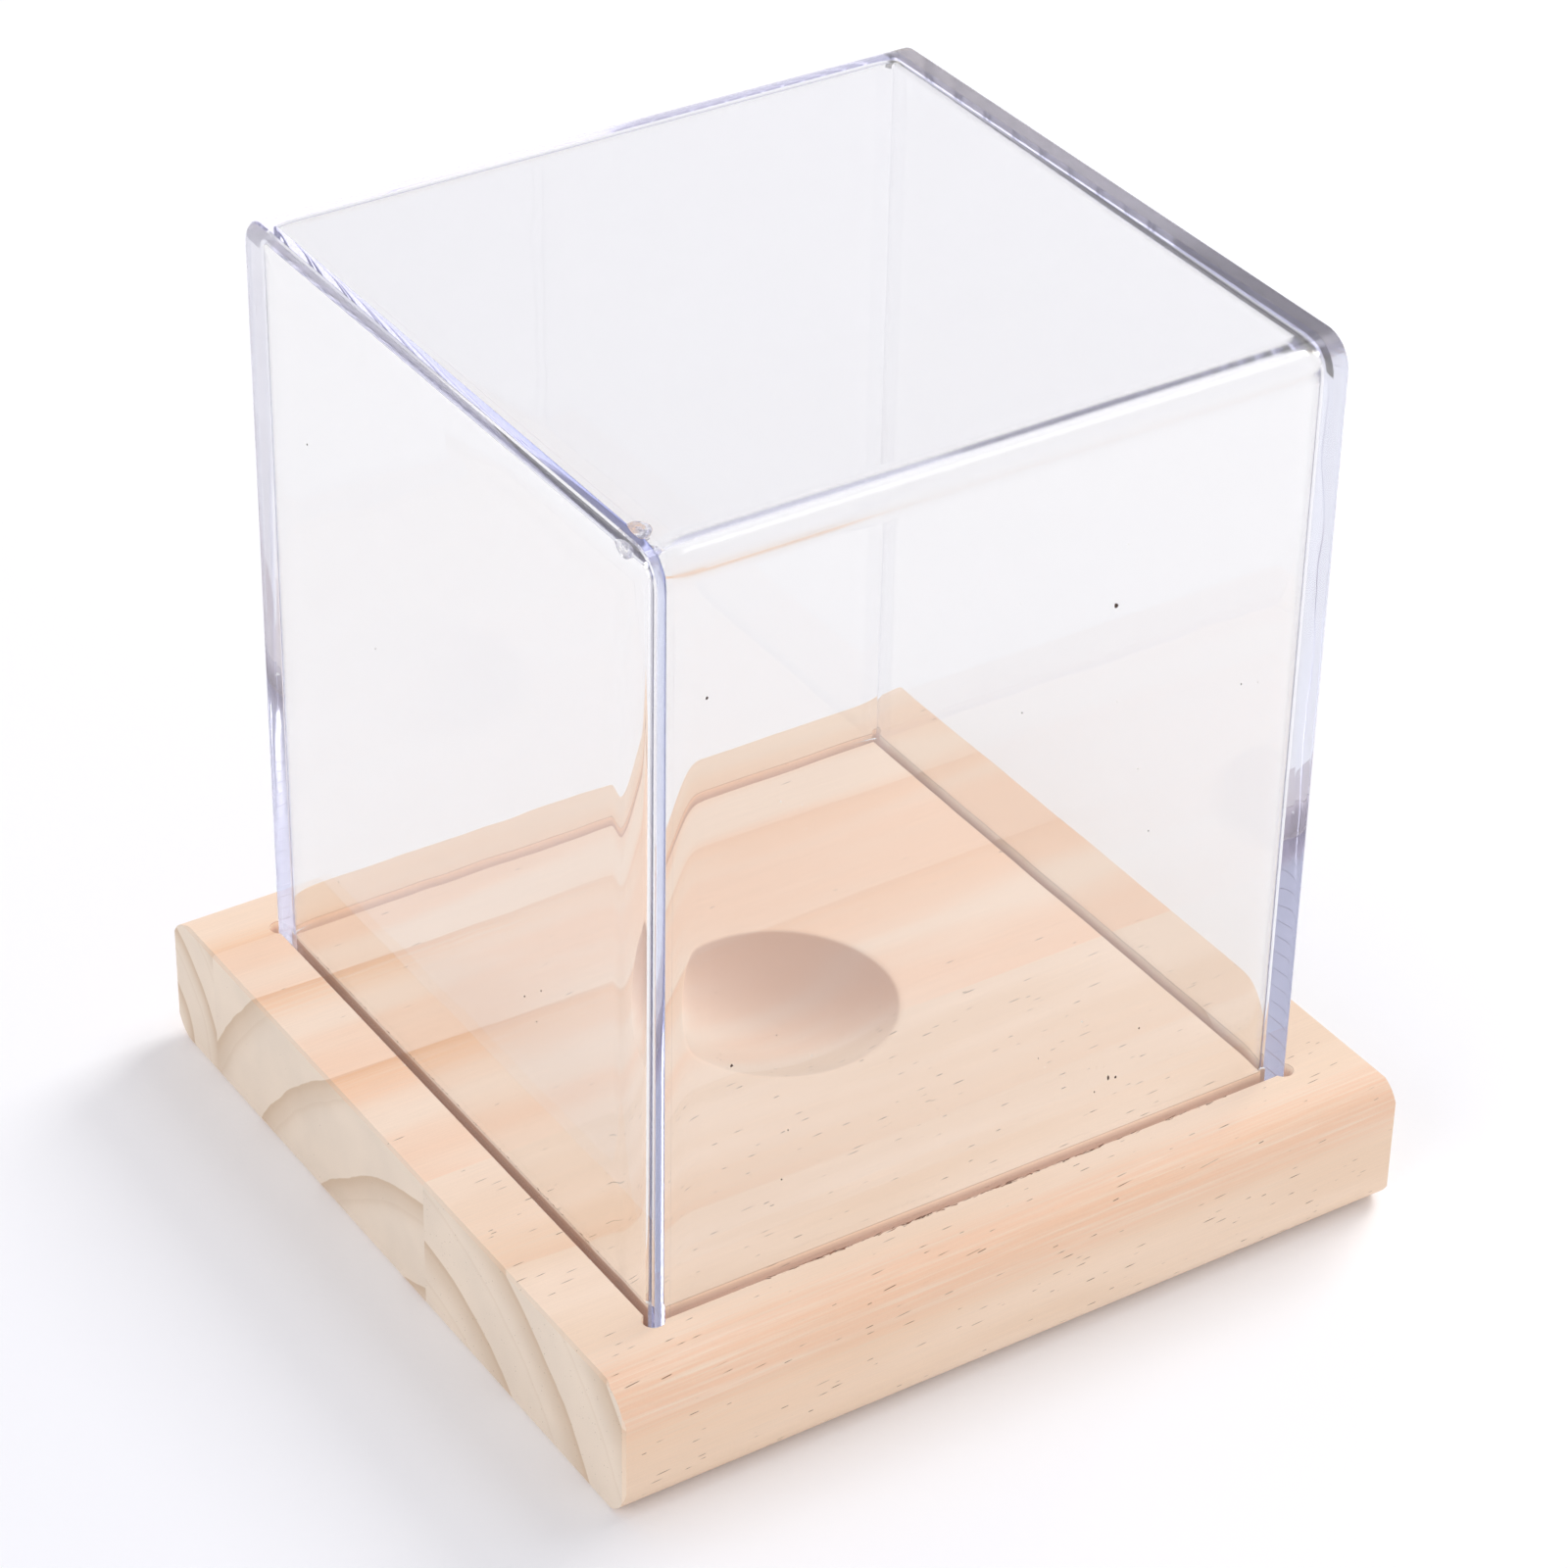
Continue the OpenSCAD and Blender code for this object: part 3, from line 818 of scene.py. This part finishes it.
def build_dust():
    """Specks of sawdust on the front and left walls of the cover, and pale ones on the front wall."""
    draw = random.Random(7)
    dark, pale = bmesh.new(), bmesh.new()
    across, upright, along_y = (1.0, 0.0, 0.0), (0.0, 0.0, 1.0), (0.0, 1.0, 0.0)
    # Distance of a flake's middle from the wall, and a flake's thickness
    off, thin = 0.03, 0.05
    for x, z, size in LARGE_SPECKS:
        add_flake(dark, (x, -COVER_HALF - off, z), across, upright, thin, draw, size)
    for _ in range(9):
        spot = (draw.uniform(-40, 40), -COVER_HALF - off, draw.uniform(30, 110))
        add_flake(dark, spot, across, upright, thin, draw, draw.uniform(0.08, 0.16))
    for _ in range(6):
        spot = (-COVER_HALF - off, draw.uniform(-38, 40), draw.uniform(28, 110))
        add_flake(dark, spot, along_y, upright, thin, draw, draw.uniform(0.08, 0.18))
    for _ in range(16):
        spot = (draw.uniform(-32, 32), -COVER_HALF - off, draw.uniform(30, 112))
        add_flake(pale, spot, across, upright, thin, draw, draw.uniform(0.07, 0.15))
    dark_dust = dust_material("sawdust_dark", srgb(60, 48, 42), srgb(96, 78, 66))
    add_piece("cover_dust", dark, dark_dust, "cover")
    pale_dust = dust_material("sawdust_pale", srgb(240, 232, 222), srgb(255, 252, 246))
    add_piece("cover_pale_dust", pale, pale_dust, "cover")


def bubble_material():
    g = Graph("cement_bubble")
    air = g.add("BsdfGlass", Color=srgb(250, 250, 252), Roughness=0.0, IOR=1 / ACRYLIC_IOR)
    skin = g.add("BsdfGlossy", Color=srgb(210, 212, 222), Roughness=0.15)
    rim = g.ramp(g.add("LayerWeight", Blend=0.5).outputs["Facing"], 0.30, 0.75)
    return g.finish(g.blend(rim, air.outputs[0], skin.outputs[0]))


def build_bubbles():
    """Air trapped in the drop of cement, each bubble a little squeezed."""
    draw = random.Random(19)
    bm = bmesh.new()
    middle = Vector((BEAD_LOW.x, (BEAD_LOW.y + BEAD_HIGH.y) / 2, BEAD_HIGH.z))
    for _ in range(11):
        size = draw.uniform(0.10, 0.24)
        way = Vector((draw.uniform(0.35, 0.95), draw.uniform(-0.8, 0.8), -draw.uniform(0.25, 0.75)))
        way = way.normalized() * draw.uniform(0.5, 1.25)
        squeeze = Vector((draw.uniform(0.8, 1.2), draw.uniform(0.8, 1.2), draw.uniform(0.7, 1.0)))
        shape = Matrix.Translation((middle + way) * MM) @ Matrix.Diagonal((*(squeeze * size * MM), 1.0))
        bmesh.ops.create_icosphere(bm, subdivisions=2, radius=1.0, matrix=shape)
    for face in bm.faces:
        face.smooth = True
    add_piece("cement_bubbles", bm, bubble_material(), "cover")


build_splinters()
build_dust()
build_bubbles()


# ---------- Studio ----------

def floor_material():
    g = Graph("studio_floor")
    p, x, y = g.object_point()[:3]
    tone = g.mix(g.noise(p, scale=0.004, detail=2.0), (0.93, 0.93, 0.935), (0.95, 0.95, 0.95))
    grain = g.bump(g.noise(p, scale=0.8, detail=3.0), 0.0001, 0.3)
    paper = g.add("BsdfPrincipled", Base_Color=tone, Roughness=0.85, Normal=grain)
    paper.inputs["Specular IOR Level"].default_value = 0.1
    # The paper is lit all the way to the horizon
    far = g.ramp(g.length(x, y), 600.0, 2800.0)
    paper.inputs["Emission Color"].default_value = (1.0, 1.0, 1.0, 1.0)
    g.feed(paper.inputs["Emission Strength"], g.times(far, 0.34))
    return g.finish(paper.outputs[0])


def build_floor():
    # Half the side of the floor, in metres
    half = 12.0
    mesh = bpy.data.meshes.new("studio_floor")
    corners = [(-half, -half, 0), (half, -half, 0), (half, half, 0), (-half, half, 0)]
    mesh.from_pydata(corners, [], [(0, 1, 2, 3)])
    floor = bpy.data.objects.new("studio_floor", mesh)
    floor.location.z = cad_box[0][2]
    bpy.context.scene.collection.objects.link(floor)
    mesh.materials.append(floor_material())


def build_world():
    world = bpy.data.worlds.new("studio")
    world.use_nodes = True
    bpy.context.scene.world = world
    tree = world.node_tree
    tree.nodes.clear()
    coords = tree.nodes.new("ShaderNodeTexCoord")
    parts = tree.nodes.new("ShaderNodeSeparateXYZ")
    ramp = tree.nodes.new("ShaderNodeValToRGB")
    background = tree.nodes.new("ShaderNodeBackground")
    output = tree.nodes.new("ShaderNodeOutputWorld")
    tree.links.new(coords.outputs["Generated"], parts.inputs[0])
    tree.links.new(parts.outputs[2], ramp.inputs[0])
    tree.links.new(ramp.outputs[0], background.inputs[0])
    tree.links.new(background.outputs[0], output.inputs[0])
    stops = ramp.color_ramp.elements
    stops[0].position = 0.10
    stops[0].color = (0.95, 0.95, 0.95, 1.0)
    stops[1].position = 0.40
    stops[1].color = (0.76, 0.765, 0.89, 1.0)
    high = stops.new(0.80)
    high.color = (0.50, 0.50, 0.52, 1.0)
    background.inputs["Strength"].default_value = 1.0


def soft_box(name, place, target, width, height, power, colour=(1, 1, 1)):
    lamp = bpy.data.lights.new(name, "AREA")
    lamp.shape = "RECTANGLE"
    lamp.size = width
    lamp.size_y = height
    lamp.energy = power
    lamp.color = colour
    box = bpy.data.objects.new(name, lamp)
    bpy.context.scene.collection.objects.link(box)
    box.location = place
    box.rotation_euler = (Vector(target) - Vector(place)).to_track_quat("-Z", "Y").to_euler()
    return box


def build_lights():
    """Three soft boxes: place, target, width, height, power in watts and colour."""
    middle = (0.0, 0.0, 0.03)
    soft_box("key_soft_box", (1.5, 0.45, 1.1), middle, 0.8, 0.8, 17.0, (1.0, 0.985, 0.97))
    soft_box("fill_soft_box", (-1.3, -0.5, 0.8), middle, 1.0, 1.0, 6.5, (1.0, 0.98, 0.96))
    soft_box("top_soft_box", (0.83, -0.09, 1.58), middle, 0.6, 0.6, 4.0)


# Place in metres, lens in millimetres, angles in degrees
CAMERA_PLACE = (-0.29631, -0.45001, 0.41578)
CAMERA_LENS = 113.5
CAMERA_HEADING = 33.458
CAMERA_LOOK_DOWN = 33.827
CAMERA_ROLL = 1.201


def build_camera():
    camera_data = bpy.data.cameras.new("camera")
    camera_data.sensor_width = 36.0
    camera_data.lens = CAMERA_LENS
    camera_data.clip_start = 0.01
    camera_data.clip_end = 100.0
    camera = bpy.data.objects.new("camera", camera_data)
    bpy.context.scene.collection.objects.link(camera)
    heading, down, roll = [math.radians(a) for a in (CAMERA_HEADING, CAMERA_LOOK_DOWN, CAMERA_ROLL)]
    level = Vector((math.sin(heading), math.cos(heading), 0.0))
    forward = level * math.cos(down) + Vector((0.0, 0.0, -math.sin(down)))
    level_right = Vector((math.cos(heading), -math.sin(heading), 0.0))
    level_up = level_right.cross(forward)
    right = level_right * math.cos(roll) + level_up * math.sin(roll)
    up = level_up * math.cos(roll) - level_right * math.sin(roll)
    turned = Matrix((right, up, -forward)).transposed().to_4x4()
    camera.matrix_world = Matrix.Translation(CAMERA_PLACE) @ turned
    bpy.context.scene.camera = camera


build_floor()
build_world()
build_lights()
build_camera()

scene = bpy.context.scene
scene.view_settings.view_transform = "Standard"
# The edges of the sheets guide light through many reflections
scene.cycles.max_bounces = 120
scene.cycles.glossy_bounces = 120
scene.cycles.transmission_bounces = 120
scene.cycles.transparent_max_bounces = 64
